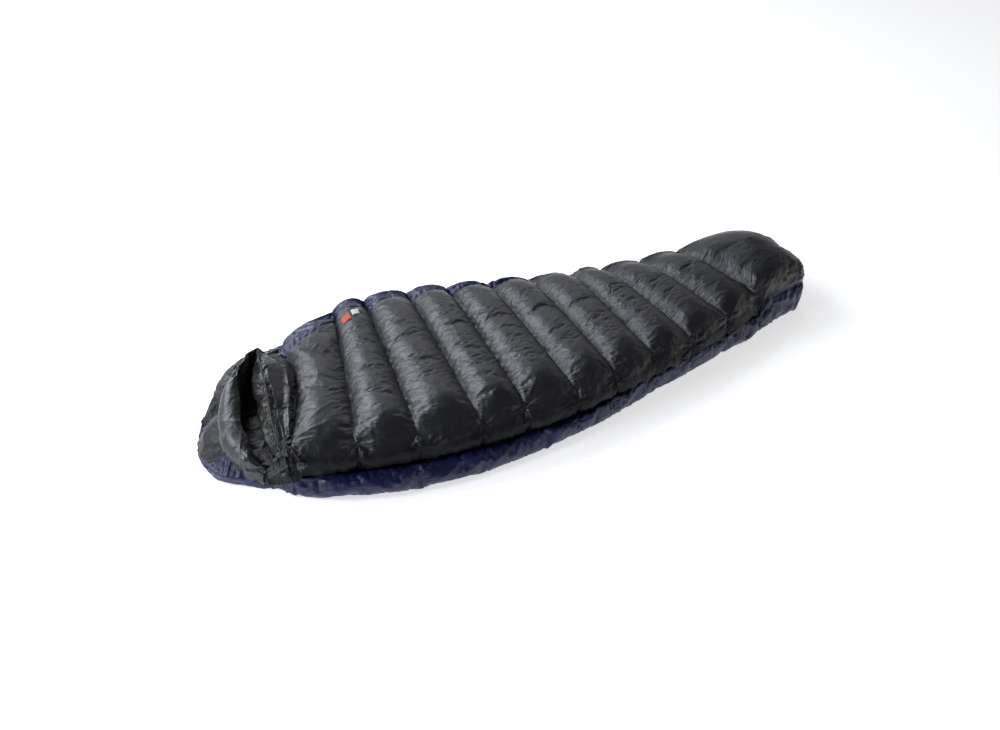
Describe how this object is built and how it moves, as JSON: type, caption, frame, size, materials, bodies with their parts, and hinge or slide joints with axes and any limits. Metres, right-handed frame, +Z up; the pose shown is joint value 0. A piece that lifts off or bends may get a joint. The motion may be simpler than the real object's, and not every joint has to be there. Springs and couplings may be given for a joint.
{
  "type": "mummy sleeping bag",
  "caption": "Down-filled mummy sleeping bag lying flat and closed, with a hood, a curved side zip, a fold-back top quilt and a drawcord lock.",
  "frame": {"origin": "middle of the bag's plan box, on the surface it lies on", "axes": "+X from the hood to the foot along the bag, -Y to the zip side, +Z up out of the face opening"},
  "size_m": [2.091, 0.7906, 0.226],
  "materials": {
    "shell_black": "satin black down-proof nylon with a fine weave",
    "shell_navy": "satin navy down-proof nylon",
    "lining": "matt olive-black soft nylon lining",
    "zip_tape": "black woven zip tape",
    "zip_coil": "black nylon coil",
    "zip_metal": "dark lacquered zinc",
    "cord": "black braided elastic cord",
    "cord_lock_plastic": "black moulded plastic",
    "spring_steel": "plain steel wire",
    "label_weave": "plain woven label, no mark"
  },
  "bodies": {
    "bag_base": {"bottom_baffle_01": "shell_navy", "bottom_baffle_02": "shell_navy", "bottom_baffle_03": "shell_navy", "bottom_baffle_04": "shell_navy", "bottom_baffle_05": "shell_navy", "bottom_baffle_06": "shell_navy", "bottom_baffle_07": "shell_navy", "bottom_baffle_08": "shell_navy", "bottom_baffle_09": "shell_navy", "bottom_baffle_10": "shell_navy", "bottom_baffle_11": "shell_navy", "bottom_liner": "lining", "foot_end_panel": "shell_navy", "hood_base": "shell_navy", "hood_brow_tube": "shell_black", "hood_crown_lower": "shell_black", "hood_crown_upper": "shell_black", "hood_drawcord": "cord", "hood_far_panel": "shell_navy", "label_patch": "label_weave", "top_baffle_01_side": "shell_black", "top_baffle_02_side": "shell_black", "top_baffle_03_side": "shell_black", "top_baffle_04_side": "shell_black", "top_baffle_05_side": "shell_black", "top_baffle_06_side": "shell_black", "top_baffle_07_side": "shell_black", "top_baffle_08_side": "shell_black", "top_baffle_09_side": "shell_black", "top_baffle_10_side": "shell_black", "top_baffle_11": "shell_black", "top_liner_side": "lining", "zip_bottom_stop": "zip_metal", "zip_coil_lower": "zip_coil", "zip_tape_lower": "zip_tape", "zip_top_stop": "zip_metal"},
    "top_flap": {"anti_snag_tape": "shell_black", "collar_drawcord": "cord", "cord_lock_body": "cord_lock_plastic", "cord_lock_spring": "spring_steel", "draft_collar": "lining", "draft_tube": "lining", "neck_collar": "shell_black", "top_baffle_01_flap": "shell_black", "top_baffle_02_flap": "shell_black", "top_baffle_03_flap": "shell_black", "top_baffle_04_flap": "shell_black", "top_baffle_05_flap": "shell_black", "top_baffle_06_flap": "shell_black", "top_baffle_07_flap": "shell_black", "top_baffle_08_flap": "shell_black", "top_baffle_09_flap": "shell_black", "top_baffle_10_flap": "shell_black", "top_liner_flap": "lining", "zip_coil_upper": "zip_coil", "zip_tape_upper": "zip_tape"},
    "slider": {"zip_slider": "zip_metal"},
    "pull_tab": {"zip_pull_tab": "zip_metal"},
    "lock_button": {"cord_lock_button": "cord_lock_plastic"}
  },
  "joints": [
    {"name": "top_quilt_fold", "type": "hinge", "parent": "bag_base", "child": "top_flap", "pos_m": [-0.8135, 0.16649, 0.19], "axis": [-0.9905, 0.1372, 0], "range_deg": [0, 100]},
    {"name": "zip_slider_travel", "type": "hinge", "parent": "bag_base", "child": "slider", "pos_m": [-0.3495, 2.64249, 0.08], "axis": [0, 0, 1], "range_deg": [0, 31.91]},
    {"name": "zip_pull_swing", "type": "hinge", "parent": "slider", "child": "pull_tab", "pos_m": [-0.83859, -0.2602, 0.08], "axis": [0, 0, 1], "range_deg": [0, 150]},
    {"name": "cord_lock_press", "type": "slide", "parent": "top_flap", "child": "lock_button", "axis": [-0.9867, 0.1626, 0], "range_m": [0, 0.003], "stiffness_N_per_m": 400}
  ],
  "couplings": [
    {"joint": "zip_slider_travel", "follows": "top_quilt_fold", "ratio": 0.31905}
  ]
}
